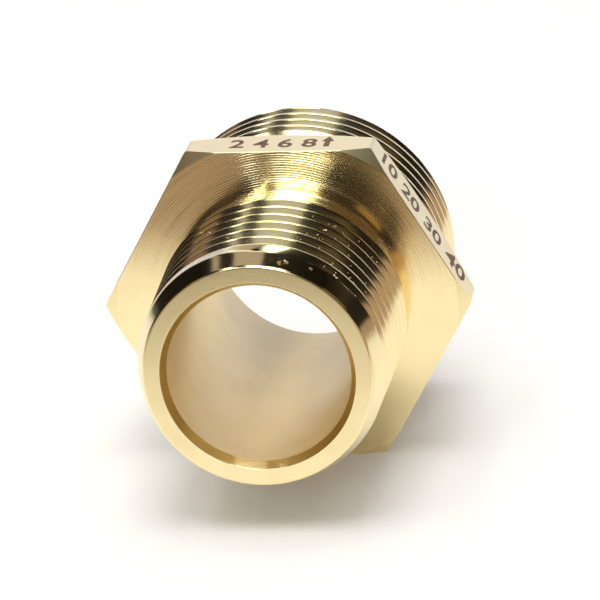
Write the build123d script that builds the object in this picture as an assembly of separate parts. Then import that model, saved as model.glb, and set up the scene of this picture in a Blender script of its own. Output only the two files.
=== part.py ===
from build123d import *
import math
import os

# A turned brass hex nipple: a wrench hexagon between a smaller, tapered male
# thread and a larger, parallel one, with a stepped bore right through. It is
# one piece of bar stock, cut here into three sections that meet face to face.
#
# Frame: the bore runs along Y, the small end points to -Y and the large end to
# +Y. +Z is square to one pair of hexagon flats. The origin is on the bore's
# axis, half way through the hexagon. Outlines are lists of (y, radius).

# Hexagon: its flats stand clear of the large thread
HEX_SIDES = 6
HEX_THICKNESS = 5.1
FLAT_STEP = 0.78  # from the large thread's crests out to a flat
CORNER_CHAMFER_ANGLE = 30.0  # from the hexagon's two faces
FRONT_CHAMFER_WIDTH = 1.17  # across the front face, in from each corner
REAR_CHAMFER_WIDTH = 0.55  # across the rear face, in from the middle of each flat

# Both threads: right-hand, 14 turns to the inch. Each groove's two flanks meet
# at its root, so the crest's width and the flank angle give the depth.
THREAD_PITCH = 25.4 / 14
THREAD_CHAMFER_ANGLE = 20.0  # lead-in, from the axis
SHOULDER_ANGLE = 45.0  # from the relief neck up to the crests, from the axis
CLEARANCE = 0.12  # how far cutters and trimming outlines reach past the crests

# Small end: 1/2 inch taper pipe thread. Its groove is cut between two places
# along the end, each measured to the groove's middle.
SMALL_GAUGE_DIAMETER = 21.224  # major diameter at the gauge plane
SMALL_GAUGE_LENGTH = 8.128  # from the end face to the gauge plane
SMALL_TAPER = 1.0 / 16.0  # of the diameter along the axis
SMALL_LENGTH = 17.55
SMALL_NECK_DIAMETER = 20.6
SMALL_NECK_LENGTH = 2.0
SMALL_CHAMFER_LENGTH = 2.05
SMALL_FLANK_ANGLE = 30.0  # from a plane square to the axis
SMALL_CREST_WIDTH = 0.24
SMALL_GROOVE_START = 0.415  # past the neck
SMALL_GROOVE_END = 2.69  # short of the end face
SMALL_GROOVE_ANGLE = 105.0  # where it starts, from +X towards +Z

# Large end: 3/4 inch parallel pipe thread. Its groove starts beside the neck
# and runs right off the end.
LARGE_MAJOR_DIAMETER = 26.441
LARGE_LENGTH = 13.1
LARGE_NECK_DIAMETER = 23.6
LARGE_NECK_LENGTH = 2.2
LARGE_CHAMFER_LENGTH = 2.6
LARGE_FLANK_ANGLE = 27.5
LARGE_CREST_WIDTH = 0.4
LARGE_GROOVE_START = -0.99  # past the neck
LARGE_GROOVE_ANGLE = 0.0  # where it starts, from +X towards -Z

# Bore: drilled from the small end, counterbored from the large end
BORE_DIAMETER = 15.5
COUNTERBORE_DIAMETER = 18.0
COUNTERBORE_DEPTH = 9.0
DRILL_POINT_ANGLE = 118.0
MOUTH_CHAMFER_WIDTH = 0.48  # across the end face
MOUTH_CHAMFER_DEPTH = 0.8  # along the bore

# Where the sections meet and end
HEX_FRONT = -HEX_THICKNESS / 2
HEX_REAR = HEX_THICKNESS / 2
SMALL_FACE = HEX_FRONT - SMALL_LENGTH
LARGE_FACE = HEX_REAR + LARGE_LENGTH

# Each end seen from the hexagon: Z runs out along it from the hexagon's face
SMALL_END = Plane(origin=(0, HEX_FRONT, 0), x_dir=(1, 0, 0), z_dir=(0, -1, 0))
LARGE_END = Plane(origin=(0, HEX_REAR, 0), x_dir=(1, 0, 0), z_dir=(0, 1, 0))


def slope(angle):
    """Rise over run of a line at an angle in degrees."""
    return math.tan(math.radians(angle))


def turned(outer, inner):
    """Ring turned about the Y axis between an outer and an inner outline."""
    with BuildPart() as ring:
        with BuildSketch():
            with BuildLine():
                Polyline([(radius, y) for y, radius in outer + inner[::-1]], close=True)
            make_face()
        revolve(axis=Axis.Y)
    return ring.part


def threaded_rod(crest_radius, taper, start, end, angle, crest_width, flank_angle):
    """Long bar about Z with a helical groove between two heights, and plain past them.

    crest_radius is the one at height 0, and the taper narrows it from there.
    """

    def major(height):
        return crest_radius - height * taper / 2

    half_width = (THREAD_PITCH - crest_width) / 2
    depth = half_width / slope(flank_angle)
    mouth = half_width + CLEARANCE * slope(flank_angle)
    run_out = 2 * THREAD_PITCH
    below, above = start - run_out, end + run_out
    with BuildPart() as groove:
        with BuildLine():
            path = Helix(
                pitch=THREAD_PITCH,
                height=end - start,
                radius=major(start),
                center=(0, 0, start),
                cone_angle=-math.degrees(math.atan(taper / 2)),
            )
        with BuildSketch(Plane(origin=path @ 0, x_dir=(0, 0, 1), z_dir=(0, -1, 0))):
            with BuildLine():
                Polyline((-mouth, -CLEARANCE), (mouth, -CLEARANCE), (0, depth), close=True)
            make_face()
        sweep(is_frenet=True)
    with BuildPart() as rod:
        with BuildSketch(Plane.XZ):
            with BuildLine():
                Polyline((0, below), (major(below), below), (major(above), above), (0, above), close=True)
            make_face()
        revolve(axis=Axis.Z)
        add(Rot(0, 0, angle) * groove.part, mode=Mode.SUBTRACT)
    return rod.part


def trimming_outline(length, neck_length, neck_diameter, face_radius, crest_radius):
    """Outline that trims a rod to an end: neck, shoulder, clear of the crests, lead-in chamfer."""
    neck = neck_diameter / 2
    clear = crest_radius + CLEARANCE
    shoulder_end = neck_length + (clear - neck) / slope(SHOULDER_ANGLE)
    chamfer_start = length - (clear - face_radius) / slope(THREAD_CHAMFER_ANGLE)
    return [
        (0, neck),
        (neck_length, neck),
        (shoulder_end, clear),
        (chamfer_start, clear),
        (length, face_radius),
    ]


def bore_mouth(face, inward, radius):
    """Inner outline of a chamfered mouth. inward is the way from the end face into the bore."""
    return [
        (face + inward * MOUTH_CHAMFER_DEPTH, radius),
        (face, radius + MOUTH_CHAMFER_WIDTH),
    ]


def hex_collar():
    """Wrench hexagon. A cone off each face turns the six corners into curved chamfers."""
    flat_radius = LARGE_MAJOR_DIAMETER / 2 + FLAT_STEP
    corner_radius = flat_radius / math.cos(math.pi / HEX_SIDES)
    growth = HEX_THICKNESS / slope(CORNER_CHAMFER_ANGLE)
    front_radius = corner_radius - FRONT_CHAMFER_WIDTH
    rear_radius = flat_radius - REAR_CHAMFER_WIDTH
    bore = [(HEX_FRONT, BORE_DIAMETER / 2), (HEX_REAR, BORE_DIAMETER / 2)]
    front_cone = [(HEX_FRONT, front_radius), (HEX_REAR, front_radius + growth)]
    rear_cone = [(HEX_FRONT, rear_radius + growth), (HEX_REAR, rear_radius)]
    with BuildPart() as collar:
        with BuildSketch(Plane.XZ):
            RegularPolygon(flat_radius, HEX_SIDES, major_radius=False)
        extrude(amount=HEX_THICKNESS / 2, both=True)
        add(turned(front_cone, bore), mode=Mode.INTERSECT)
        add(turned(rear_cone, bore), mode=Mode.INTERSECT)
    return collar.part


def small_threaded_end():
    """Small male end, with the drilled bore and its chamfered mouth."""
    crest_radius = (SMALL_GAUGE_DIAMETER + (SMALL_LENGTH - SMALL_GAUGE_LENGTH) * SMALL_TAPER) / 2
    chamfer_start = SMALL_LENGTH - SMALL_CHAMFER_LENGTH
    chamfer_radius = crest_radius - chamfer_start * SMALL_TAPER / 2
    face_radius = chamfer_radius - SMALL_CHAMFER_LENGTH * slope(THREAD_CHAMFER_ANGLE)
    outline = trimming_outline(
        SMALL_LENGTH, SMALL_NECK_LENGTH, SMALL_NECK_DIAMETER, face_radius, crest_radius
    )
    rod = threaded_rod(
        crest_radius,
        SMALL_TAPER,
        SMALL_NECK_LENGTH + SMALL_GROOVE_START,
        SMALL_LENGTH - SMALL_GROOVE_END,
        SMALL_GROOVE_ANGLE,
        SMALL_CREST_WIDTH,
        SMALL_FLANK_ANGLE,
    )
    bore = BORE_DIAMETER / 2
    outer = [(HEX_FRONT - height, radius) for height, radius in outline]
    inner = [(HEX_FRONT, bore)] + bore_mouth(SMALL_FACE, 1, bore)
    return turned(outer, inner) & SMALL_END * rod


def large_threaded_end():
    """Large male end, with the counterbore and the drill point's cone at its floor."""
    crest_radius = LARGE_MAJOR_DIAMETER / 2
    face_radius = crest_radius - LARGE_CHAMFER_LENGTH * slope(THREAD_CHAMFER_ANGLE)
    outline = trimming_outline(
        LARGE_LENGTH, LARGE_NECK_LENGTH, LARGE_NECK_DIAMETER, face_radius, crest_radius
    )
    rod = threaded_rod(
        crest_radius,
        0,
        LARGE_NECK_LENGTH + LARGE_GROOVE_START,
        LARGE_LENGTH + THREAD_PITCH,
        LARGE_GROOVE_ANGLE,
        LARGE_CREST_WIDTH,
        LARGE_FLANK_ANGLE,
    )
    bore = BORE_DIAMETER / 2
    counterbore = COUNTERBORE_DIAMETER / 2
    step = LARGE_FACE - COUNTERBORE_DEPTH
    point = (counterbore - bore) / slope(DRILL_POINT_ANGLE / 2)
    outer = [(HEX_REAR + height, radius) for height, radius in outline]
    inner = [(HEX_REAR, bore), (step - point, bore), (step, counterbore)]
    inner += bore_mouth(LARGE_FACE, -1, counterbore)
    return turned(outer, inner) & LARGE_END * rod


NODES = (hex_collar, small_threaded_end, large_threaded_end)

os.makedirs("parts", exist_ok=True)
for node in NODES:
    export_step(node(), f"parts/{node.__name__}.step")
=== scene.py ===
"""A turned brass hex nipple on a white table: its visible surfaces, finishes, light and camera."""
import math

import bmesh
import bpy
import numpy as np
from bpy.props import FloatProperty, FloatVectorProperty, PointerProperty
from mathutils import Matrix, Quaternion, Vector


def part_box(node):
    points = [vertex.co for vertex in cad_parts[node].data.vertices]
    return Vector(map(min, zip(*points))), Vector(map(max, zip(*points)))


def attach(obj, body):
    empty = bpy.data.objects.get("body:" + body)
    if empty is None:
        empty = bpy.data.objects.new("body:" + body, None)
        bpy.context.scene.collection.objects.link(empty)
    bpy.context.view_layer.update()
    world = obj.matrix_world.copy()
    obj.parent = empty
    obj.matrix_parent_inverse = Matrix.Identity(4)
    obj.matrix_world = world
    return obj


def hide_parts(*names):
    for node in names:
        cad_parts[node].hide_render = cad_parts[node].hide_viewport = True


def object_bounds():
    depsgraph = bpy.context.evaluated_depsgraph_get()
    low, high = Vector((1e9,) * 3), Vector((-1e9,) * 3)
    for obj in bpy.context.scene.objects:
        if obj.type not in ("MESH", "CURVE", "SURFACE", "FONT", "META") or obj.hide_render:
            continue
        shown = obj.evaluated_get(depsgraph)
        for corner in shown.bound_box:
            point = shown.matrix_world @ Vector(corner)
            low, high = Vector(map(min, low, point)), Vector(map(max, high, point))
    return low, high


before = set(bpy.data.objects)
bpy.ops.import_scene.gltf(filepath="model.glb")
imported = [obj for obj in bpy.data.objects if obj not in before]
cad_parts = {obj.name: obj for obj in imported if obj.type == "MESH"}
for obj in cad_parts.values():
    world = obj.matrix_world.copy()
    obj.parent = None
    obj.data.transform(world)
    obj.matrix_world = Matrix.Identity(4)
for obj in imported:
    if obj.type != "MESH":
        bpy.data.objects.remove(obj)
CAD_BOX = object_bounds()

bl_info = {
    "name": "Brass Hex Nipple",
    "version": (1, 0, 0),
    "blender": (4, 5, 0),
    "location": "View3D > Sidebar > Hex Nipple",
    "description": "Threads, hexagon, etched marks, brass finishes and studio of a turned hex nipple",
    "category": "Object",
}

MM = 0.001
BODY = "root"

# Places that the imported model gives, in metres
HEX_LOW, HEX_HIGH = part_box("hex_collar")
SMALL_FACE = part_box("small_threaded_end")[0].y
LARGE_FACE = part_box("large_threaded_end")[1].y
FLOOR_Z = CAD_BOX[0].z

# Both ends: lead-in chamfer, rounded rim of the end face, and the chamfer of the bore's mouth
LEAD_IN_ANGLE = math.radians(20)
LEAD_IN = math.tan(LEAD_IN_ANGLE)
RIM = 0.18 * MM
# How far behind the end face the arc of its rounded rim begins on the lead-in chamfer
RIM_DEPTH = RIM * math.tan((math.pi / 2 - LEAD_IN_ANGLE) / 2) * math.cos(LEAD_IN_ANGLE)
MOUTH_WIDTH, MOUTH_DEPTH = 0.48 * MM, 0.8 * MM
MOUTH_EDGE, MOUTH_ROOT = 0.04 * MM, 0.05 * MM

# Small end: neck and shoulder lengths, its face, and its thread's crest line and soft bends
SMALL_NECK, SMALL_SHOULDER = 2.0 * MM, 1.0 * MM
SMALL_FACE_RADIUS = 9.676 * MM
SMALL_CREST_Y = HEX_LOW.y - 5.061 * MM
SMALL_SOFT = 0.045 * MM
# Turns from the crest line over which the small thread's groove starts, and over which it ends
GROOVE_START, GROOVE_END = (-1.74, -1.66), (5.12, 5.30)

# Large end: the same, its lead-in chamfer's length, and where the counterbore's step lies
LARGE_NECK, LARGE_SHOULDER = 2.2 * MM, 1.5 * MM
LARGE_LEAD_IN = 2.6 * MM
LARGE_CREST_Y = HEX_LOW.y + 14.02 * MM
LARGE_SOFT = 0.06 * MM
COUNTERBORE_DEPTH, COUNTERBORE_END = 9.0 * MM, 9.75 * MM
STEP_EDGE = 0.1 * MM

# Hexagon: circles where its corner chamfers begin, their slope, and its smallest edge bevel.
# Its flats lie under the CAD's by the first inset, and the marks by the second.
FRONT_CIRCLE, REAR_CIRCLE = 14.996 * MM, 13.45 * MM
CORNER_SLOPE = math.tan(math.radians(30))
HEX_EDGE = 0.045 * MM
HEX_INSET, MARK_INSET = 0.008 * MM, 0.002 * MM
# Power of the mean that draws the hexagon's outline: the higher, the sharper its corners
CORNER_SHARPNESS = 160

# Columns of each piece's grid all the way round
SMALL_COLUMNS, LARGE_COLUMNS, HEX_COLUMNS = 400, 480, 720


# ---------------------------------------------------------------- sizes and colours


class NippleSizes(bpy.types.PropertyGroup):
    """Sizes of the hexagon, the two threads and the bore."""

    thread_pitch: FloatProperty(
        name="Thread pitch", description="Distance between two turns, 14 to the inch",
        default=25.4 / 14 * MM, unit="LENGTH", precision=5)
    small_major: FloatProperty(
        name="Small major radius", description="Crest radius of the tapered thread at its end face",
        default=10.358 * MM, unit="LENGTH", precision=5)
    small_taper: FloatProperty(
        name="Small taper", description="Growth of the crest radius along the axis",
        default=1 / 32, precision=5)
    small_crest: FloatProperty(
        name="Small crest flat", description="Width of the flat along each crest",
        default=0.24 * MM, unit="LENGTH", precision=5)
    small_neck: FloatProperty(
        name="Small neck radius", description="Radius of the relief next to the hexagon",
        default=10.3 * MM, unit="LENGTH", precision=5)
    large_major: FloatProperty(
        name="Large major radius", description="Crest radius of the parallel thread",
        default=13.2205 * MM, unit="LENGTH", precision=5)
    large_crest: FloatProperty(
        name="Large crest flat", description="Width of the flat along each crest",
        default=0.4 * MM, unit="LENGTH", precision=5)
    large_neck: FloatProperty(
        name="Large neck radius", description="Radius of the relief behind the hexagon",
        default=11.8 * MM, unit="LENGTH", precision=5)
    bore_radius: FloatProperty(
        name="Bore radius", description="Radius of the through bore",
        default=7.75 * MM, unit="LENGTH", precision=5)
    counterbore_radius: FloatProperty(
        name="Counterbore radius", description="Radius of the wider bore in the large end",
        default=9.0 * MM, unit="LENGTH", precision=5)


class FinishColours(bpy.types.PropertyGroup):
    """Colours of the brass and its marks, and a copy of the brass for the bore whose colour paints the
    light inside it.
    """

    brass: FloatVectorProperty(
        name="Brass", description="Freshly cut brass", subtype="COLOR",
        size=3, min=0, max=1, default=(0.95, 0.80, 0.46))
    tarnish: FloatVectorProperty(
        name="Tarnish", description="Slightly dulled brass in the low places", subtype="COLOR",
        size=3, min=0, max=1, default=(0.86, 0.68, 0.37))
    # Painted light: the bore's own copy of the brass colour, lighter and warmer than the rest, stands in
    # for the light inside the bore
    bore: FloatVectorProperty(
        name="Bore", description="Warmer brass inside the bore", subtype="COLOR",
        size=3, min=0, max=1, default=(0.99, 0.81, 0.46))
    etch: FloatVectorProperty(
        name="Etched mark", description="Burnt brown of the laser marks", subtype="COLOR",
        size=3, min=0, max=1, default=(0.16, 0.075, 0.03))


class StudioSettings(bpy.types.PropertyGroup):
    """Camera and floor."""

    azimuth: FloatProperty(
        name="Camera azimuth", description="Round the object, to the right of straight ahead",
        default=math.radians(8.967), subtype="ANGLE")
    elevation: FloatProperty(
        name="Camera elevation", description="Above the horizon",
        default=math.radians(19.372), subtype="ANGLE")
    roll: FloatProperty(
        name="Camera roll", description="Tilt about the line of sight",
        default=math.radians(-3.673), subtype="ANGLE")
    distance: FloatProperty(
        name="Camera distance", description="From the camera to the point it looks at",
        default=335.867 * MM, unit="LENGTH", precision=5)
    lens: FloatProperty(
        name="Focal length", description="Long lens, close to the object",
        default=232.03, min=50)
    floor_colour: FloatVectorProperty(
        name="Floor", description="White table", subtype="COLOR",
        size=3, min=0, max=1, default=(0.88, 0.875, 0.865))
    floor_half: FloatProperty(
        name="Floor half width", description="From the object to the table's edge",
        default=0.43, unit="LENGTH")


# ---------------------------------------------------------------- shader building


class Value:
    """One number socket. Arithmetic on it adds Math nodes."""

    def __init__(self, shader, socket):
        self.shader = shader
        self.socket = socket

    def math(self, operation, *others):
        """A Math node with this value first."""
        return self.shader.math(operation, self, *others)

    def __add__(self, other):
        return self.math("ADD", other)

    __radd__ = __add__

    def __sub__(self, other):
        return self.math("SUBTRACT", other)

    def __rsub__(self, other):
        return self.shader.math("SUBTRACT", other, self)

    def __mul__(self, other):
        return self.math("MULTIPLY", other)

    __rmul__ = __mul__

    def __truediv__(self, other):
        return self.math("DIVIDE", other)


class Shader:
    """A node tree under construction."""

    def __init__(self, tree):
        self.tree = tree
        tree.nodes.clear()

    def node(self, kind, inputs=None, output=0, **settings):
        """Adds a node: its settings first, then values or links on its inputs. Returns one output."""
        node = self.tree.nodes.new(kind)
        for name, value in settings.items():
            setattr(node, name, value)
        for key, value in (inputs or {}).items():
            socket = node.inputs[key]
            if isinstance(value, Value):
                self.tree.links.new(value.socket, socket)
            else:
                socket.default_value = value
        return Value(self, node.outputs[output]) if node.outputs else node

    def math(self, operation, *values):
        """Arithmetic on numbers."""
        return self.node("ShaderNodeMath", dict(enumerate(values)), operation=operation)

    def vector(self, operation, *values, **named):
        """Arithmetic on vectors."""
        return self.node(
            "ShaderNodeVectorMath", {**dict(enumerate(values)), **named}, operation=operation)

    def ramp(self, value, low, high):
        """0 below low, 1 above high, and smooth between."""
        return self.node(
            "ShaderNodeMapRange", {0: value, 1: low, 2: high}, interpolation_type="SMOOTHSTEP")

    def mix(self, factor, first, second):
        """Blend of two colours. The node's inputs 6 and 7 and its output 2 are the colour ones."""
        return self.node(
            "ShaderNodeMix", {0: factor, 6: first, 7: second}, output=2, data_type="RGBA")

    def noise(self, place, scale, detail, roughness):
        """Cloudy values around a half."""
        return self.node(
            "ShaderNodeTexNoise",
            {"Vector": place, "Scale": scale, "Detail": detail, "Roughness": roughness})

    def position(self):
        """Object coordinates, and their three parts."""
        place = self.node("ShaderNodeTexCoord", output="Object")
        return place, [self.node("ShaderNodeSeparateXYZ", {0: place}, output=axis) for axis in "XYZ"]

    def combine(self, x, y, z):
        """Vector from three numbers."""
        return self.node("ShaderNodeCombineXYZ", {0: x, 1: y, 2: z})

    def seen(self):
        """1 where a camera, a mirror or clear glass looks at the surface, else 0."""
        camera, glossy, clear = [
            self.node("ShaderNodeLightPath", output=f"Is {way} Ray")
            for way in ("Camera", "Glossy", "Transmission")]
        return (camera + glossy + clear).math("MINIMUM", 1.0)


def colour(values):
    """Colour with full alpha, as colour sockets take it."""
    return (*values, 1.0)


def make_material(name, surface):
    """Material whose nodes are what surface adds to a Shader."""
    material = bpy.data.materials.new(name)
    material.use_nodes = True
    s = Shader(material.node_tree)
    s.node("ShaderNodeOutputMaterial", {"Surface": surface(s)})
    return material


# ---------------------------------------------------------------- finishes

# Marks left by the tool, roughness and what else sets each finish apart
BRASS_FINISHES = {
    "thread_brass": ("turned", 0.13, dict(swing=0.12, wear=0.06)),
    "end_face_brass": ("face", 0.18, dict(swing=0.06, lean=-0.05, wear=0.06)),
    "bore_brass_painted_light": ("turned", 0.42, dict(swing=0.30, wear=0.03)),
    "hex_face_brass": (
        "face", 0.12, dict(feed=0.22 * MM, swing=0.06, lean=0.05, wear=0.04, ridge=0.25)),
    "hex_flat_brass": ("drawn", 0.30, dict(swing=0.03, wear=0.03)),
    "hex_corner_brass": ("turned", 0.30, dict(swing=0.12, wear=0.04)),
    "burr_brass": ("turned", 0.42, dict(swing=0.10, wear=0.04)),
}
# Share of the clean colour that gives way to the tarnished one in the dullest patches
DULL = 0.3
# Part of each groove, from -1 to 1 across it, beyond which a ridge stands
RIDGE_START = 0.82
# Scratches to the metre across the tool's cut, and how often they change along a drawn one
SCRATCHES, DRAWN_LENGTHS = 5000.0, 200.0
# The same to the radian round the axis on a face and on a turned surface, and to the metre of radius
FACE_LENGTHS, TURNED_LENGTHS, RADIUS_STEPS = 0.6, 1.2, 900.0
# Cloudy patches to the metre
PATCHES = 320.0


def tool_marks(s, marks, place):
    """Distance along the tool's feed, the way that it moved, and a noise of fine scratches.

    The tool moves outwards over a "face" and along the axis over a "turned" surface, while a
    "drawn" bar is scratched along the axis and its grooves lie side by side across X and Z.
    The scratches are noise that is fine across the cut and stretched along it.
    """
    x, y, z = place
    radius = (x * x + z * z).math("SQRT")
    angle = s.math("ARCTAN2", z, x)
    if marks == "face":
        across, way = radius, s.combine(x / radius, 0.0, z / radius)
        stretched = s.combine(radius * SCRATCHES, angle * FACE_LENGTHS, 0.0)
    elif marks == "turned":
        across, way = y, s.combine(0.0, 1.0, 0.0)
        stretched = s.combine(y * SCRATCHES, angle * TURNED_LENGTHS, radius * RADIUS_STEPS)
    else:
        across, way = x + z, s.combine(1.0, 0.0, 0.0)
        stretched = s.combine(x * SCRATCHES, y * DRAWN_LENGTHS, z * SCRATCHES)
    return across, way, s.noise(stretched, 1.0, 3.0, 0.65)


def brass_material(name, colours, marks, roughness, swing, wear, feed=0.12 * MM, lean=0.0, ridge=0.0):
    """Metal with the grooves that a turning tool leaves.

    The tool moves on by feed at each groove. Across a groove the surface's normal swings along
    the tool's way, as the cube of the place in the groove, by up to swing to either side of its
    lean. A ridge on the groove's last part tilts the normal further. wear is how far the
    roughness changes with the scratches and in patches.
    """
    def surface(s):
        """Tarnish in patches, roughness from scratches and patches, and the grooves' normal."""
        place, parts = s.position()
        across, way, scratch = tool_marks(s, marks, parts)
        cloud = s.noise(place, PATCHES, 3.0, 0.55)
        groove = (across / feed + scratch * 0.8).math("FRACT") * 2.0 - 1.0
        tilt = groove * groove * groove * (swing * (scratch * 0.7 + 0.65)) + lean
        if ridge:
            tilt = tilt + groove.math("GREATER_THAN", RIDGE_START) * ridge
        facing = s.node("ShaderNodeNewGeometry", output="Normal")
        turned = s.vector("SCALE", way, Scale=tilt)
        normal = s.vector("NORMALIZE", s.vector("ADD", facing, turned))
        patches = s.ramp(cloud, 0.30, 0.75) * DULL
        base = s.mix(patches, colour(colours[0]), colour(colours[1]))
        rough = roughness + (scratch - 0.5) * wear + (cloud - 0.5) * wear
        return s.node(
            "ShaderNodeBsdfPrincipled",
            {"Base Color": base, "Metallic": 1.0, "Roughness": rough, "Normal": normal})

    return make_material(name, surface)


def brass(name, finish):
    """One of the brass finishes, made the first time that a piece asks for it."""
    made = bpy.data.materials.get(name)
    if made:
        return made
    # The bore takes its own copy of the brass colour, which paints the light inside it
    clean = finish.bore if name == "bore_brass_painted_light" else finish.brass
    marks, roughness, more = BRASS_FINISHES[name]
    return brass_material(name, (clean, finish.tarnish), marks, roughness, **more)


def etched_material(name, finish):
    """Brass burnt brown by a laser, with the metal showing through in grains."""
    def surface(s):
        """Burnt brown, and the bare metal where fine noise is high."""
        place, _ = s.position()
        bare = s.ramp(s.noise(place, 9000.0, 2.0, 0.6), 0.58, 0.72) * 0.6
        base = s.mix(bare, colour(finish.etch), colour(finish.tarnish))
        return s.node(
            "ShaderNodeBsdfPrincipled", {"Base Color": base, "Metallic": 0.3, "Roughness": 0.55})

    return make_material(name, surface)


# ---------------------------------------------------------------- surfaces


def grid_faces(rows, columns):
    """Quads between neighbouring points of a rows x columns grid."""
    corner = np.arange(rows - 1)[:, None] * columns + np.arange(columns - 1)[None, :]
    quads = np.stack([corner, corner + columns, corner + columns + 1, corner + 1], -1)
    return quads.reshape(-1, 4)


def join_grids(grids):
    """One point array, face list and material index array from (grid, material index) pairs."""
    points, faces, indices, base = [], [], [], 0
    for grid, index in grids:
        rows, columns = grid.shape[:2]
        quads = grid_faces(rows, columns)
        points.append(grid.reshape(-1, 3))
        faces.append(quads + base)
        indices.append(np.full(len(quads), index))
        base += rows * columns
    return np.concatenate(points), np.concatenate(faces), np.concatenate(indices)


def make_piece(name, surfaces, materials, sharp_angle):
    """Mesh object from points, faces and material indices, with doubles merged and normals out."""
    points, faces, material_of_face = surfaces
    if not np.isfinite(points).all():
        raise ValueError(f"{name}: its sizes give no surface")
    mesh = bpy.data.meshes.new(name)
    mesh.from_pydata(points.reshape(-1, 3), [], faces)
    for material in materials:
        mesh.materials.append(material)
    mesh.polygons.foreach_set("material_index", material_of_face.astype(np.int32))
    bm = bmesh.new()
    bm.from_mesh(mesh)
    bmesh.ops.remove_doubles(bm, verts=bm.verts, dist=1e-7)
    bmesh.ops.dissolve_degenerate(bm, edges=bm.edges, dist=1e-7)
    bmesh.ops.recalc_face_normals(bm, faces=bm.faces)
    bm.to_mesh(mesh)
    bm.free()
    mesh.polygons.foreach_set("use_smooth", np.ones(len(mesh.polygons), bool))
    mesh.set_sharp_from_angle(angle=sharp_angle)
    mesh.update()
    return bpy.data.objects.new(name, mesh)


def place_piece(piece, *nodes):
    """Puts a piece into the scene, on the only body, and in the place of the CAD nodes it replaces."""
    bpy.context.scene.collection.objects.link(piece)
    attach(piece, BODY)
    for node in nodes:
        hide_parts(node)


def smooth(value, low, high):
    """0 below low, 1 above high, and an S curve between."""
    t = np.clip((value - low) / (high - low), 0, 1)
    return t * t * (3 - 2 * t)


def hinge(value, soft):
    """0 below zero and value above, with the bend rounded over soft on each side."""
    bent = (value + soft) ** 2 / (4 * soft)
    return np.where(value < -soft, 0, np.where(value > soft, value, bent))


class Thread:
    """One helical thread: a crest line at crest_y where the angle is a quarter turn.

    crest is the width of the flat on top, half_angle is the flanks' angle from square to the
    axis, and soft is how far the bend between them is rounded to each side.
    """

    def __init__(self, crest_y, pitch, crest, half_angle, soft):
        self.crest_y = crest_y
        self.pitch = pitch
        self.half = crest / 2
        self.slope = 1 / math.tan(half_angle)
        self.soft = soft

    def phase(self, y, angles):
        """Turns from the crest line, along the axis towards -Y."""
        return (self.crest_y - y) / self.pitch - (angles - math.pi / 2) / math.tau

    def y(self, phase, angles):
        """Place along the axis, from the same relation."""
        return self.crest_y - self.pitch * (phase + (angles - math.pi / 2) / math.tau)

    def cut(self, phase):
        """Depth of the groove below the crest: flat crest, soft bends, flanks that meet at the root."""
        along = np.abs(phase - np.round(phase)) * self.pitch
        return hinge(along - self.half, self.soft) * self.slope

    def rows(self, y_low, y_high):
        """Phases of the grid rows that cover y_low to y_high all the way round.

        Each turn has rows on the crest, at the bends, down both flanks and at the root.
        """
        bend = self.soft * np.array([-1, -0.35, 0.35])
        flank = np.linspace(self.half + self.soft, self.pitch * 0.48, 5)
        one = np.concatenate([[0], self.half + bend, flank]) / self.pitch
        turn = np.unique(np.round(np.concatenate([one, 1 - one[1:], [0.5]]), 9))
        low = math.floor((self.crest_y - y_high) / self.pitch - 0.75) - 1
        high = math.ceil((self.crest_y - y_low) / self.pitch + 0.25) + 1
        return (np.arange(low, high)[:, None] + turn[None, :]).ravel()


def small_thread(z):
    """The tapered thread's helix, with flanks 60 degrees apart."""
    return Thread(SMALL_CREST_Y, z.thread_pitch, z.small_crest, math.radians(30), SMALL_SOFT)


def large_thread(z):
    """The parallel thread's helix, with flanks 55 degrees apart."""
    return Thread(LARGE_CREST_Y, z.thread_pitch, z.large_crest, math.radians(27.5), LARGE_SOFT)


def turned_surface(profile, columns):
    """Grid of a surface of revolution about the Y axis from a list of (y, radius)."""
    angles = np.linspace(0, math.tau, columns + 1)[None, :]
    profile = np.array(profile)
    y, radius = profile[:, 0:1], profile[:, 1:2]
    return np.stack([radius * np.cos(angles), y + 0 * angles, radius * np.sin(angles)], -1)


def threaded_surface(thread, columns, y_low, y_high, crest_radius, blank, fade):
    """Grid of a thread between two rings: rows follow the helix and stop at the rings.

    The radius is the smaller of the blank's and the crest's less the groove, times fade.
    """
    angles = np.linspace(0, math.tau, columns + 1)[None, :]
    phase = thread.rows(y_low, y_high)[:, None]
    y = np.clip(thread.y(phase, angles), y_low, y_high)
    phase = thread.phase(y, angles)
    groove = thread.cut(phase) * fade(phase, angles)
    radius = np.minimum(blank(y), crest_radius(y) - groove)
    return np.stack([radius * np.cos(angles), y, radius * np.sin(angles)], -1)


# Steps along the arc of a rounded corner, and all the points that stand for such a corner
ARC_STEPS = 4
ARC_POINTS = ARC_STEPS + 3
# Distance from an arc's end to the point beside it, as a share of the arc's radius
CLOSE = 0.3


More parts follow.
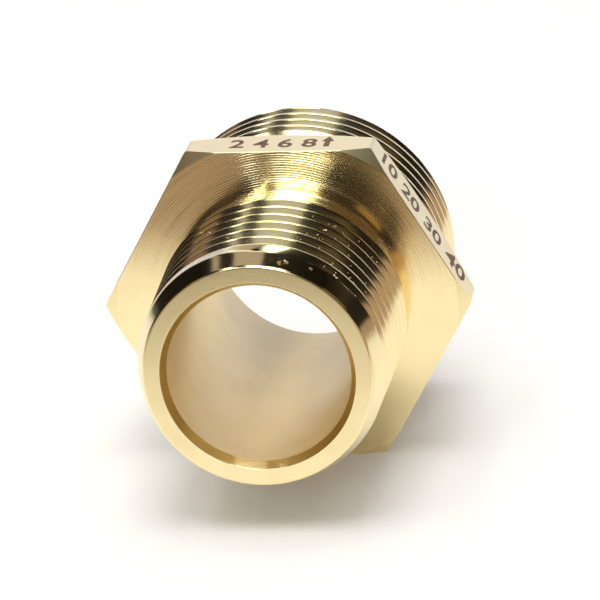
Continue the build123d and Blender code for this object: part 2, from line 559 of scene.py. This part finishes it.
def rounded(corners):
    """Outline with its corners turned into arcs. Each corner is (y, radius, rounding).

    One more point stands close to each end of an arc, so that the flats beside it are lit as
    flat. That gives ARC_POINTS on a rounded corner, and one where the rounding is 0.
    """
    points = [corners[0][:2]]
    for before, corner, after in zip(corners, corners[1:], corners[2:]):
        here = np.array(corner[:2])
        if corner[2] == 0:
            points.append(tuple(here))
            continue
        back = np.array(before[:2]) - here
        ahead = np.array(after[:2]) - here
        back /= np.linalg.norm(back)
        ahead /= np.linalg.norm(ahead)
        half = math.acos(np.clip(back @ ahead, -1, 1)) / 2
        centre = here + (back + ahead) / np.linalg.norm(back + ahead) * corner[2] / math.sin(half)
        start = here + back * corner[2] / math.tan(half) - centre
        end = here + ahead * corner[2] / math.tan(half) - centre
        sweep = math.pi - 2 * half
        close = corner[2] * CLOSE
        points.append(tuple(centre + start + back * close))
        for t in np.linspace(0, 1, ARC_STEPS + 1):
            arc = (math.sin((1 - t) * sweep) * start + math.sin(t * sweep) * end) / math.sin(sweep)
            points.append(tuple(centre + arc))
        points.append(tuple(centre + end + ahead * close))
    points.append(corners[-1][:2])
    return points


def neck_outline(hexagon, face, radius, length, shoulder):
    """Radius over y of a neck of a given length and a shoulder as high as it is long, up to the face."""
    way = math.copysign(1, face - hexagon)
    ys = [hexagon, hexagon + way * length, hexagon + way * (length + shoulder), face]
    radii = [radius, radius, radius + shoulder, radius + shoulder]
    ys, radii = zip(*sorted(zip(ys, radii)))
    return lambda y: np.interp(y, ys, radii)


def end_profile(rim_start, face, face_radius, mouth_radius, inwards, rest):
    """Outline over the rounded rim, the end face and the chamfer of the mouth, and on through rest.

    inwards is 1 or -1, the way into the metal along Y.
    """
    return rounded([
        (*rim_start, 0), (face, face_radius, RIM),
        (face, mouth_radius + MOUTH_WIDTH, MOUTH_EDGE),
        (face + inwards * MOUTH_DEPTH, mouth_radius, MOUTH_ROOT),
        *rest])


def build_end(name, node, outer, profile, columns, finish):
    """A threaded end from the thread's grid and the outline of all that is turned.

    The rim and the mouth's chamfer are as bright as the thread. The face differs, and the bore has a
    copy of the brass whose colour paints the light inside it.
    """
    rim, mouth = 1 + ARC_POINTS, 1 + 2 * ARC_POINTS
    thread_brass, face_brass, bore_brass_painted_light = range(3)
    grids = [
        (outer, thread_brass),
        (turned_surface(profile[:rim], columns), thread_brass),
        (turned_surface(profile[rim - 1:mouth], columns), face_brass),
        (turned_surface(profile[mouth - 1:mouth + 1], columns), thread_brass),
        (turned_surface(profile[mouth:], columns), bore_brass_painted_light),
    ]
    materials = [brass(kind, finish) for kind in ("thread_brass", "end_face_brass", "bore_brass_painted_light")]
    place_piece(make_piece(name, join_grids(grids), materials, math.radians(32)), node)


# ---------------------------------------------------------------- pieces


class BuildSmallEnd(bpy.types.Operator):
    """The tapered thread, its neck, end face and the bore inside it"""

    bl_idname = "nipple.small_end"
    bl_label = "Small threaded end"

    def execute(self, context):
        z = context.scene.nipple_sizes
        if z.bore_radius + MOUTH_WIDTH >= SMALL_FACE_RADIUS:
            raise ValueError("The bore's mouth is wider than the small end face.")
        front, face = HEX_LOW.y, SMALL_FACE
        neck = neck_outline(front, face, z.small_neck, SMALL_NECK, SMALL_SHOULDER)
        ring = face + RIM_DEPTH

        def blank(y):
            """Radius before threading: the neck, or the lead-in chamfer where that is less."""
            return np.minimum(neck(y), SMALL_FACE_RADIUS + (y - face) * LEAD_IN)

        def crest_radius(y):
            """Major radius, which grows evenly from the end face."""
            return z.small_major + (y - face) * z.small_taper

        def fade(phase, angles):
            """Full depth of the groove between its two run-outs, by the turns along the helix."""
            turn = np.floor(phase) + angles / math.tau
            return smooth(turn, *GROOVE_START) * (1 - smooth(turn, *GROOVE_END))

        outer = threaded_surface(
            small_thread(z), SMALL_COLUMNS, ring, front, crest_radius, blank, fade)
        profile = end_profile(
            (ring, blank(ring)), face, SMALL_FACE_RADIUS, z.bore_radius, 1,
            [(front, z.bore_radius, 0), (front, z.small_neck, 0)])
        build_end("small_end_threads", "small_threaded_end", outer, profile, SMALL_COLUMNS,
                  context.scene.nipple_finish)
        return {"FINISHED"}


class BuildLargeEnd(bpy.types.Operator):
    """The parallel thread, its neck, end face and the stepped bore inside it"""

    bl_idname = "nipple.large_end"
    bl_label = "Large threaded end"

    def execute(self, context):
        z = context.scene.nipple_sizes
        face_radius = z.large_major - LARGE_LEAD_IN * LEAD_IN
        if z.counterbore_radius + MOUTH_WIDTH >= face_radius:
            raise ValueError("The counterbore's mouth is wider than the large end face.")
        rear, face = HEX_HIGH.y, LARGE_FACE
        neck = neck_outline(rear, face, z.large_neck, LARGE_NECK, LARGE_SHOULDER)
        ring = face - RIM_DEPTH

        def blank(y):
            """Radius before threading: the neck, or the lead-in chamfer where that is less."""
            return np.minimum(neck(y), face_radius + (face - y) * LEAD_IN)

        outer = threaded_surface(
            large_thread(z), LARGE_COLUMNS, rear, ring,
            lambda y: z.large_major, blank, lambda phase, angles: 1)
        profile = end_profile(
            (ring, blank(ring)), face, face_radius, z.counterbore_radius, -1,
            [(face - COUNTERBORE_DEPTH, z.counterbore_radius, STEP_EDGE),
             (face - COUNTERBORE_END, z.bore_radius, STEP_EDGE),
             (rear, z.bore_radius, 0), (rear, z.large_neck, 0)])
        build_end("large_end_threads", "large_threaded_end", outer, profile, LARGE_COLUMNS,
                  context.scene.nipple_finish)
        return {"FINISHED"}


def hexagon_radius(angles, flat):
    """Radius of a hexagon with flats at the given distance and corners just off sharp.

    It is the distance over a mean of the six flats' cosines in a high power, so that two flats
    blend only close to their corner.
    """
    sides = np.radians(np.arange(30, 360, 60))
    reach = np.clip(np.cos(angles[None, :] - sides[:, None]), 0, None) ** CORNER_SHARPNESS
    return flat / reach.sum(0) ** (1 / CORNER_SHARPNESS)


def hexagon_angles():
    """Even angles all the way round, with more of them close to each corner."""
    corner = np.radians(np.arange(0, 360, 60))
    near = np.radians(np.linspace(-1.6, 1.6, 25))
    even = np.linspace(0, math.tau, HEX_COLUMNS, endpoint=False)
    angles = np.concatenate([even, (corner[:, None] + near).ravel()])
    angles = np.unique(np.round(np.mod(angles, math.tau), 9))
    return np.append(angles, math.tau)


class BuildHexagon(bpy.types.Operator):
    """The wrench hexagon with its turned corner chamfers"""

    bl_idname = "nipple.hexagon"
    bl_label = "Hexagon"

    def execute(self, context):
        z = context.scene.nipple_sizes
        if z.bore_radius >= REAR_CIRCLE:
            raise ValueError("The bore is wider than the hexagon's faces.")
        front, rear = HEX_LOW.y, HEX_HIGH.y
        angles = hexagon_angles()
        radius = hexagon_radius(angles, HEX_HIGH.z - HEX_INSET)
        bore = (np.full_like(radius, z.bore_radius), np.full_like(radius, front))
        # Radius and y of each ring: the chamfer is a cone, or the bevel where that is less
        rings = [
            bore,
            (np.minimum(FRONT_CIRCLE, radius - HEX_EDGE), np.full_like(radius, front)),
            (radius, front + np.maximum(HEX_EDGE, (radius - FRONT_CIRCLE) * CORNER_SLOPE)),
            (radius, rear - np.maximum(HEX_EDGE, (radius - REAR_CIRCLE) * CORNER_SLOPE)),
            (np.minimum(REAR_CIRCLE, radius - HEX_EDGE), np.full_like(radius, rear)),
            (bore[0], np.full_like(radius, rear)),
            bore,
        ]
        face, flat, inside, corner = range(4)
        # Rows of the grid and finish from each ring to the next
        bands = [(5, face), (4, corner), (5, flat), (4, corner), (5, face), (3, inside)]
        grids = []
        for (r0, y0), (r1, y1), (rows, finish) in zip(rings, rings[1:], bands):
            t = np.linspace(0, 1, rows)[:, None]
            r = r0 * (1 - t) + r1 * t
            y = y0 * (1 - t) + y1 * t
            grids.append((np.stack([r * np.cos(angles), y, r * np.sin(angles)], -1), finish))
        kinds = ("hex_face_brass", "hex_flat_brass", "bore_brass_painted_light", "hex_corner_brass")
        materials = [brass(kind, context.scene.nipple_finish) for kind in kinds]
        piece = make_piece("hex_faces", join_grids(grids), materials, math.radians(24))
        place_piece(piece, "hex_collar")
        return {"FINISHED"}


# Height of a numeral in the font's own units, and how much bolder than the font it is drawn
NUMERAL_HEIGHT, NUMERAL_BOLD = 0.73, 0.022


def numerals(body, height):
    """Corner points and triangles of a line of plain numbers on the baseline."""
    curve = bpy.data.curves.new("numerals", "FONT")
    curve.body = body
    curve.size = 1.0
    curve.offset = NUMERAL_BOLD
    curve.resolution_u = 4
    writing = bpy.data.objects.new("numerals", curve)
    mesh = bpy.data.meshes.new_from_object(writing)
    mesh.calc_loop_triangles()
    points = np.zeros(len(mesh.vertices) * 3)
    mesh.vertices.foreach_get("co", points)
    triangles = np.zeros(len(mesh.loop_triangles) * 3, np.int32)
    mesh.loop_triangles.foreach_get("vertices", triangles)
    bpy.data.objects.remove(writing)
    bpy.data.curves.remove(curve)
    bpy.data.meshes.remove(mesh)
    if len(triangles) == 0:
        raise RuntimeError("The built-in font gave no numerals.")
    points = points.reshape(-1, 3)[:, :2] * height / NUMERAL_HEIGHT
    return points, triangles.reshape(-1, 3)


def arrow(height, width):
    """Corner points and triangles of a plain upright arrow on the baseline."""
    stem, neck = width * 0.22, height * 0.52
    points = np.array([
        (-stem, 0), (stem, 0), (stem, neck), (-stem, neck),
        (-width / 2, neck), (width / 2, neck), (0, height)])
    return points, np.array([(0, 1, 2), (0, 2, 3), (4, 5, 6)])


class BuildMarks(bpy.types.Operator):
    """Plain numbers and an arrow, burnt into two flats of the hexagon"""

    bl_idname = "nipple.marks"
    bl_label = "Etched marks"

    def execute(self, context):
        # Each flat: a point on it, and the way that its marks read, with +Y up
        corner = HEX_HIGH.z / math.cos(math.radians(30)) / 2
        outwards = np.array([math.sqrt(0.75), 0, 0.5])
        top = (np.array([0, 0, HEX_HIGH.z - MARK_INSET]), np.array([1, 0, 0]))
        side = (np.array([corner, 0, HEX_HIGH.z]) - outwards * MARK_INSET,
                np.array([0.5, 0, -math.sqrt(0.75)]))
        # Each mark: its flat, and its start, length and baseline there in millimetres
        lines = [
            (numerals("2 4 6 8", 2.3 * MM), top, -4.4, 7.6, -1.25),
            (arrow(2.9 * MM, 1.1 * MM), top, 3.55, 1.1, -1.3),
            (numerals("10 20 30", 2.3 * MM), side, 1.6, 9.2, -1.2),
            (numerals("40", 2.6 * MM), side, 11.6, 3.0, -1.3),
        ]
        points, faces, base = [], [], 0
        for (places, triangles), (origin, reading), start, length, foot in lines:
            along = places[:, 0] - places[:, 0].min()
            along = along * length * MM / along.max() + start * MM
            up = places[:, 1] + foot * MM
            points.append(origin + along[:, None] * reading + up[:, None] * np.array([0, 1, 0]))
            faces.append(triangles + base)
            base += len(places)
        mesh = bpy.data.meshes.new("etched_numbers")
        mesh.from_pydata(np.concatenate(points), [], np.concatenate(faces))
        mesh.materials.append(etched_material("etched_brass", context.scene.nipple_finish))
        mesh.update()
        place_piece(bpy.data.objects.new("etched_numbers", mesh))
        return {"FINISHED"}


GRAINS = 280
# Angle of the two crowds of grains in degrees: middle and spread
RIGHT_GRAINS, LEFT_GRAINS = (50, 17), (126, 14)
# Where on a groove's flank that faces the small end the grains lie, in turns, and how big they are
GRAIN_FLANK = (0.14, 0.42)
GRAIN_SIZE = (0.04, 0.11)
GRAIN_LIFT = 0.03 * MM
# Larger chips: angle in degrees, y and radius in millimetres, size in millimetres
CHIPS = (
    (76.5, -19.2, 10.02, 0.13), (73.5, -18.95, 10.12, 0.11), (62.0, -18.7, 10.20, 0.07),
    (101.0, -19.9, 9.80, 0.06), (35.0, -12.6, 10.25, 0.11), (29.0, -12.3, 10.25, 0.11),
    (62.5, -6.8, 10.35, 0.06), (55.0, -5.6, 10.45, 0.06),
)
CHIP_GRAINS = 5


def scatter_grains(rng, z):
    """Angle, y, radius and size of grains on the small thread's flanks."""
    right_count = GRAINS * 3 // 5
    right = rng.normal(*RIGHT_GRAINS, right_count)
    left = rng.normal(*LEFT_GRAINS, GRAINS - right_count)
    angles = np.radians(np.concatenate([right, left]))
    turn = rng.integers(0, 6, GRAINS)
    thread = small_thread(z)
    phase = turn + rng.uniform(*GRAIN_FLANK, GRAINS)
    y = thread.y(phase, angles)
    radius = z.small_major + (y - SMALL_FACE) * z.small_taper - thread.cut(phase) + GRAIN_LIFT
    return angles, y, radius, rng.uniform(*GRAIN_SIZE, GRAINS) * MM


def scatter_chip(rng, angle, along, out, big):
    """Angle, y, radius and size of the grains that make up one chip."""
    angles = np.radians(angle + rng.uniform(-1.2, 1.2, CHIP_GRAINS))
    y = (along + rng.uniform(-0.22, 0.22, CHIP_GRAINS)) * MM
    radius = np.full(CHIP_GRAINS, out * MM)
    return angles, y, radius, rng.uniform(0.6, 1.0, CHIP_GRAINS) * big * MM


class BuildBurrs(bpy.types.Operator):
    """Grains and chips of brass that the threading tool left in the small end's grooves"""

    bl_idname = "nipple.burrs"
    bl_label = "Burrs"

    def execute(self, context):
        rng = np.random.default_rng(7)
        grains = [scatter_grains(rng, context.scene.nipple_sizes)]
        grains += [scatter_chip(rng, *chip) for chip in CHIPS]
        angles, y, radius, size = (np.concatenate(part) for part in zip(*grains))
        keep = (y > SMALL_FACE + 0.05 * MM) & (y < HEX_LOW.y - SMALL_NECK)
        if not keep.any():
            raise ValueError("No grain lies on the small thread.")
        angles, y, radius, size = angles[keep], y[keep], radius[keep], size[keep]
        centre = np.stack([radius * np.cos(angles), y, radius * np.sin(angles)], -1)
        # Each grain is a crooked octahedron
        ball = np.array([(1, 0, 0), (-1, 0, 0), (0, 1, 0), (0, -1, 0), (0, 0, 1), (0, 0, -1)])
        sides = np.array([(0, 2, 4), (2, 1, 4), (1, 3, 4), (3, 0, 4),
                          (2, 0, 5), (1, 2, 5), (3, 1, 5), (0, 3, 5)])
        jitter = rng.uniform(0.6, 1.3, (len(size), *ball.shape))
        points = centre[:, None, :] + ball[None] * jitter * size[:, None, None]
        faces = (sides[None] + len(ball) * np.arange(len(size))[:, None, None]).reshape(-1, 3)
        material = brass("burr_brass", context.scene.nipple_finish)
        piece = make_piece(
            "thread_burrs", (points, faces, np.zeros(len(faces))), [material], math.radians(70))
        place_piece(piece)
        return {"FINISHED"}


# ---------------------------------------------------------------- studio

# The table's near part starts here, where mirrors of it turn from white to a dark shade
NEAR_EDGE = -0.045
WHITE_TO_SHADE = (0.048, 0.084)
# Edges across X of the band ahead of the object where the near part's glow carries a painted shadow
DEEP_SHADE_LEFT, DEEP_SHADE_RIGHT = (-0.029, -0.021), (-0.002, 0.006)

# Dark room: half its width, the reach of its side walls along Y, and its height
ROOM, FAR, CEILING = 0.8, 1.3, 0.78

# Lamps that face down at one height: place and size in parts of the height, and radiance
LAMP_HEIGHT = 0.6
OVERHEAD = (
    ("strip_over", (0.03, -0.18), (0.46, 0.8), 4.0),
    ("strip_front", (0.01, -1.15), (0.48, 0.7), 0.5),
    ("thin_over", (-0.45, -0.18), (0.13, 0.8), 4.0),
    ("thin_front", (-0.48, -1.15), (0.11, 0.7), 0.5),
)

# Shades of the boards round the table that only the brass shows
BOARD_SHADES = {
    "dim_wall": (0.13, 0.085, 0.07),
    "olive_board": (0.36, 0.26, 0.13),
    "white_board": (0.82, 0.86, 1.05),
    "tan_board": (0.46, 0.41, 0.39),
    "white_strip": (1.2, 1.2, 1.25),
    "brown_board": (0.24, 0.17, 0.12),
    "deep_board": (0.10, 0.078, 0.045),
}


def card(name, corners, material, seen=False):
    """Flat four-cornered stage card, hidden from the camera unless it is to be seen."""
    mesh = bpy.data.meshes.new(name)
    mesh.from_pydata([Vector(c) for c in corners], [], [(0, 1, 2, 3)])
    mesh.materials.append(material)
    board = bpy.data.objects.new(name, mesh)
    bpy.context.scene.collection.objects.link(board)
    board.visible_camera = seen


def rectangle(low, high):
    """Corners of a level or upright rectangle between two opposite ones."""
    (x0, y0, z0), (x1, y1, z1) = low, high
    if z0 == z1:
        return [(x0, y0, z0), (x1, y0, z0), (x1, y1, z0), (x0, y1, z0)]
    return [(x0, y0, z0), (x1, y1, z0), (x1, y1, z1), (x0, y0, z1)]


def glow(name, shade):
    """Material that only gives light, of the given shade."""
    return make_material(
        name, lambda s: s.node("ShaderNodeEmission", {"Color": colour(shade), "Strength": 1.0}))


def matt(name, shade, strength=0.0):
    """Material that scatters light, with some of its own."""
    return make_material(name, lambda s: s.node("ShaderNodeBsdfPrincipled", {
        "Base Color": colour(shade), "Roughness": 1.0,
        "Emission Color": colour(shade), "Emission Strength": strength}))


def make_floor(studio):
    """White table top, whose near part only mirrors see.

    Seen directly or mirrored the table carries a little light of its own. The near part only glows, and
    its glow turns from white to a brown shade away from the object, with a painted shadow in a band
    ahead of it.
    """
    def table(s):
        """Matt white, with a little light of its own where it is seen or mirrored."""
        return s.node(
            "ShaderNodeBsdfPrincipled",
            {"Base Color": colour(studio.floor_colour), "Roughness": 0.9,
             "Emission Color": colour((1, 1, 1)), "Emission Strength": s.seen() * 0.10})

    def shaded(s):
        """Glow that fades from white to a brown away from the object, with a painted shadow between two
        ramps.
        """
        _, (x, y, _) = s.position()
        away = s.ramp(y * -1.0, *WHITE_TO_SHADE)
        # Painted shadow: a darker band of the glow ahead of the object
        painted_shadow_band = s.ramp(x, *DEEP_SHADE_LEFT) * (1.0 - s.ramp(x, *DEEP_SHADE_RIGHT))
        shade = s.mix(painted_shadow_band, colour((0.44, 0.33, 0.25)), colour((0.12, 0.09, 0.045)))
        tone = s.mix(away, colour((1.08, 1.06, 1.02)), shade)
        return s.node("ShaderNodeEmission", {"Color": tone, "Strength": 1.0})

    half = studio.floor_half
    card("floor", rectangle((-half, NEAR_EDGE, FLOOR_Z), (half, half, FLOOR_Z)),
         make_material("white_table", table), seen=True)
    card("floor_ahead", rectangle((-half, -half, FLOOR_Z), (half, NEAR_EDGE, FLOOR_Z)),
         make_material("table_painted_shade", shaded))


def area_lamp(name, place, size, radiance, tint=(1, 1, 1), mirrored=True, upright=False):
    """Flat lamp of a given radiance, facing down, or facing +Y where it is upright."""
    lamp = bpy.data.lights.new(name, "AREA")
    lamp.shape = "RECTANGLE"
    lamp.size, lamp.size_y = size
    lamp.energy = radiance * size[0] * size[1] * math.pi
    lamp.color = tint
    fitting = bpy.data.objects.new(name, lamp)
    fitting.location = place
    if upright:
        fitting.rotation_euler = (math.pi / 2, 0, 0)
    bpy.context.scene.collection.objects.link(fitting)
    fitting.visible_camera = False
    fitting.visible_glossy = mirrored


def make_lamps():
    """Two pairs of strips overhead, a wide fill that mirrors don't show, and two windows ahead."""
    for name, place, size, radiance in OVERHEAD:
        x, y = (part * LAMP_HEIGHT for part in place)
        size = tuple(part * LAMP_HEIGHT for part in size)
        area_lamp(name, (x, y, LAMP_HEIGHT), size, radiance)
    area_lamp("fill", (-0.10, 0.0, 0.7), (1.2, 1.2), 1.18, (1.0, 0.965, 0.92), mirrored=False)
    area_lamp("window_wide", (-0.08, -1.2, 0.48), (0.30, 0.52), 6.2, (0.82, 1.0, 1.06), upright=True)
    area_lamp("window_thin", (-0.3665, -1.2, 0.48), (0.055, 0.52), 7.5, (0.84, 1.0, 1.1), upright=True)


def make_air(scene):
    """World that is white where it is seen or mirrored and almost dark as a light."""
    world = bpy.data.worlds.new("studio_air")
    scene.world = world
    world.use_nodes = True
    s = Shader(world.node_tree)
    shade = s.mix(s.seen(), colour((0.02, 0.018, 0.016)), colour((1, 1, 1)))
    background = s.node("ShaderNodeBackground", {"Color": shade, "Strength": 1.0})
    s.node("ShaderNodeOutputWorld", {"Surface": background})


def make_surroundings():
    """A dark room round the table, and the boards that the brass mirrors."""
    low, high = FLOOR_Z, CEILING
    dark = matt("dark_wall", (0.022, 0.016, 0.012))
    brown = matt("brown_skirting", (0.30, 0.22, 0.16), 0.9)
    board = {name: glow(name, shade) for name, shade in BOARD_SHADES.items()}
    for name, start, end, material in (
        ("wall_left", (-ROOM, -FAR, low), (-ROOM, FAR, high), dark),
        ("wall_right", (ROOM, -FAR, low), (ROOM, FAR, high), dark),
        ("wall_front", (-ROOM, -FAR, low), (ROOM, -FAR, high), board["dim_wall"]),
        ("wall_back", (-ROOM, ROOM, low), (ROOM, ROOM, high), dark),
        ("ceiling", (-ROOM, -FAR, high), (ROOM, ROOM, high), dark),
        ("skirting", (0.45, -0.5, low), (0.45, 0.3, 0.07), brown),
        ("back_board", (-0.28, 0.44, low), (0.42, 0.44, 0.25), board["white_board"]),
        ("strip_wide", (-0.099, 0.43, 0.14), (0.035, 0.43, 0.27), board["white_strip"]),
        ("strip_thin", (-0.135, 0.43, 0.14), (-0.108, 0.43, 0.27), board["white_strip"]),
        ("left_board", (-0.62, -0.85, 0.38), (-0.62, -0.40, 0.65), board["brown_board"]),
        ("right_board", (0.25, -1.1, 0.42), (0.79, -1.1, 0.77), board["deep_board"]),
        ("side_board", (0.7, -0.15, 0.35), (0.7, 0.3, 0.75), board["olive_board"]),
    ):
        card(name, rectangle(start, end), material)
    for name, foot, top in (
        ("slope_wide", (-0.16, -0.03), (-0.28, -0.03)),
        ("slope_thin", (-0.28, -0.25), (-0.48, -0.41)),
    ):
        corners = [(foot[0], 0.44, 0.28), (foot[1], 0.44, 0.28),
                   (top[1], 0.30, 0.75), (top[0], 0.30, 0.75)]
        card(name, corners, board["tan_board"])


def make_camera(scene, studio):
    """Long lens at the given azimuth, elevation and roll."""
    camera = bpy.data.cameras.new("camera")
    camera.lens = studio.lens
    camera.clip_start = 0.01
    eye = bpy.data.objects.new("camera", camera)
    aim = Vector((1.216 * MM, HEX_LOW.y, 0.464 * MM))
    a, e = studio.azimuth, studio.elevation
    back = Vector((math.sin(a) * math.cos(e), -math.cos(a) * math.cos(e), math.sin(e)))
    eye.location = aim + back * studio.distance
    eye.rotation_mode = "QUATERNION"
    turn = (-back).to_track_quat("-Z", "Y")
    eye.rotation_quaternion = turn @ Quaternion((0, 0, 1), studio.roll)
    scene.collection.objects.link(eye)
    scene.camera = eye


class BuildStage(bpy.types.Operator):
    """White table, reflectors, lamps, surroundings and the camera"""

    bl_idname = "nipple.stage"
    bl_label = "Studio"

    def execute(self, context):
        studio = context.scene.nipple_studio
        if studio.floor_half <= -NEAR_EDGE:
            raise ValueError("The table is too small for its near part.")
        make_floor(studio)
        make_lamps()
        make_air(context.scene)
        make_surroundings()
        make_camera(context.scene, studio)
        context.scene.view_settings.view_transform = "Standard"
        return {"FINISHED"}


# ---------------------------------------------------------------- add-on


class NipplePanel(bpy.types.Panel):
    """Buttons and sizes in the sidebar"""

    bl_idname = "VIEW3D_PT_hex_nipple"
    bl_label = "Hex Nipple"
    bl_space_type = "VIEW_3D"
    bl_region_type = "UI"
    bl_category = "Hex Nipple"

    def draw(self, context):
        for operator in OPERATORS:
            self.layout.operator(operator.bl_idname)
        scene = context.scene
        for group in (scene.nipple_sizes, scene.nipple_finish, scene.nipple_studio):
            box = self.layout.box()
            for name in group.__annotations__:
                box.prop(group, name)


OPERATORS = (BuildSmallEnd, BuildLargeEnd, BuildHexagon, BuildMarks, BuildBurrs, BuildStage)
CLASSES = (NippleSizes, FinishColours, StudioSettings, *OPERATORS, NipplePanel)


def register():
    """Adds the classes and hangs the three groups of settings on the scene."""
    for each in CLASSES:
        bpy.utils.register_class(each)
    bpy.types.Scene.nipple_sizes = PointerProperty(type=NippleSizes)
    bpy.types.Scene.nipple_finish = PointerProperty(type=FinishColours)
    bpy.types.Scene.nipple_studio = PointerProperty(type=StudioSettings)


def unregister():
    """Takes the settings and the classes away again."""
    del bpy.types.Scene.nipple_studio
    del bpy.types.Scene.nipple_finish
    del bpy.types.Scene.nipple_sizes
    for each in reversed(CLASSES):
        bpy.utils.unregister_class(each)


def main():
    register()
    for operator in OPERATORS:
        group, name = operator.bl_idname.split(".")
        getattr(getattr(bpy.ops, group), name)()


if __name__ == "__main__":
    main()
